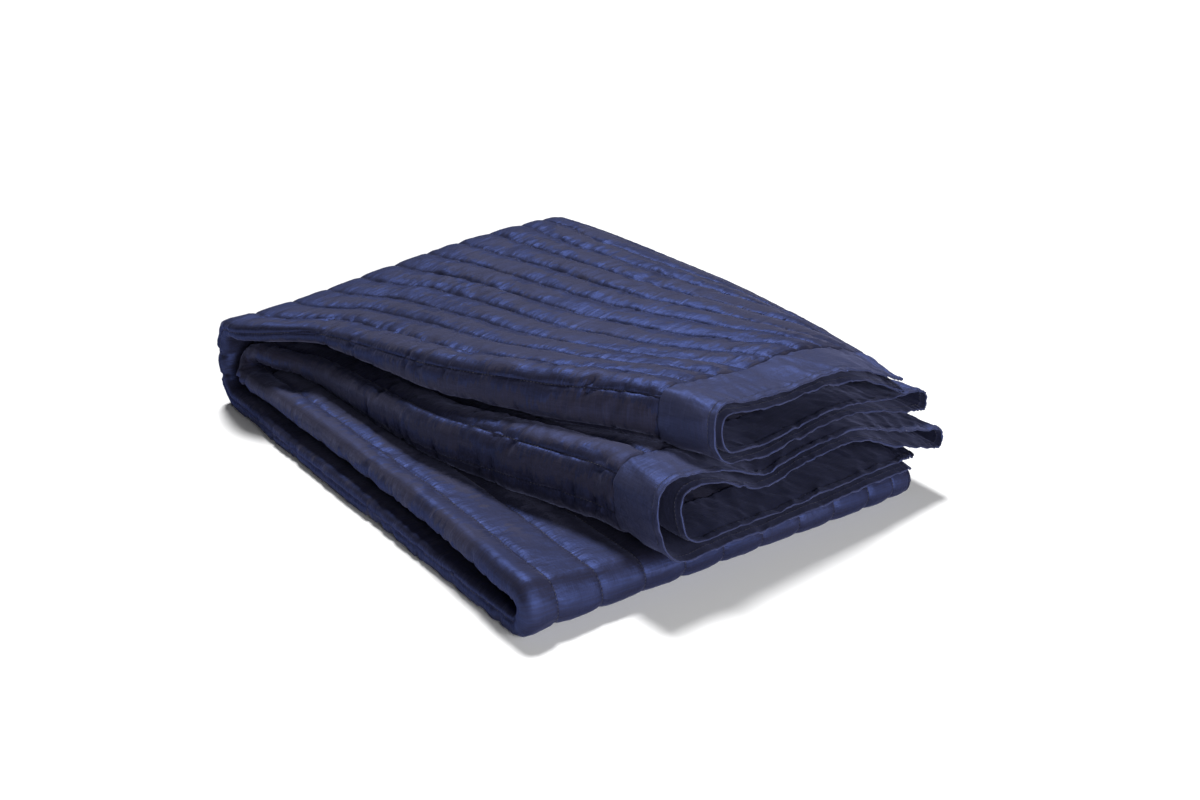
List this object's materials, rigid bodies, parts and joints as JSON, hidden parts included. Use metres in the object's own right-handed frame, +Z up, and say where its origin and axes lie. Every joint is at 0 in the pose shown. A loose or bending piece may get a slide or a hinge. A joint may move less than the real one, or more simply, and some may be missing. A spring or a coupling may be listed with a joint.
{
  "type": "folded bedspread",
  "caption": "Navy silk-look bedspread quilted in parallel channels, with plain end bands, folded into a low stack.",
  "frame": {"origin": "middle of the footprint, on the surface the bedspread lies on", "axes": "+X along the folded strip toward the open ends, +Y from the rolled folds to the far side, +Z up"},
  "size_m": [0.7597, 0.5724, 0.184],
  "materials": {
    "quilted_cloth": "silk-look slub weave, soft sheen, navy shot with brown",
    "band_cloth": "plain silk-look slub weave, soft sheen, navy"
  },
  "bodies": {
    "root": {"quilted_panel": "quilted_cloth", "end_band_a": "band_cloth", "end_band_b": "band_cloth"}
  },
  "joints": []
}
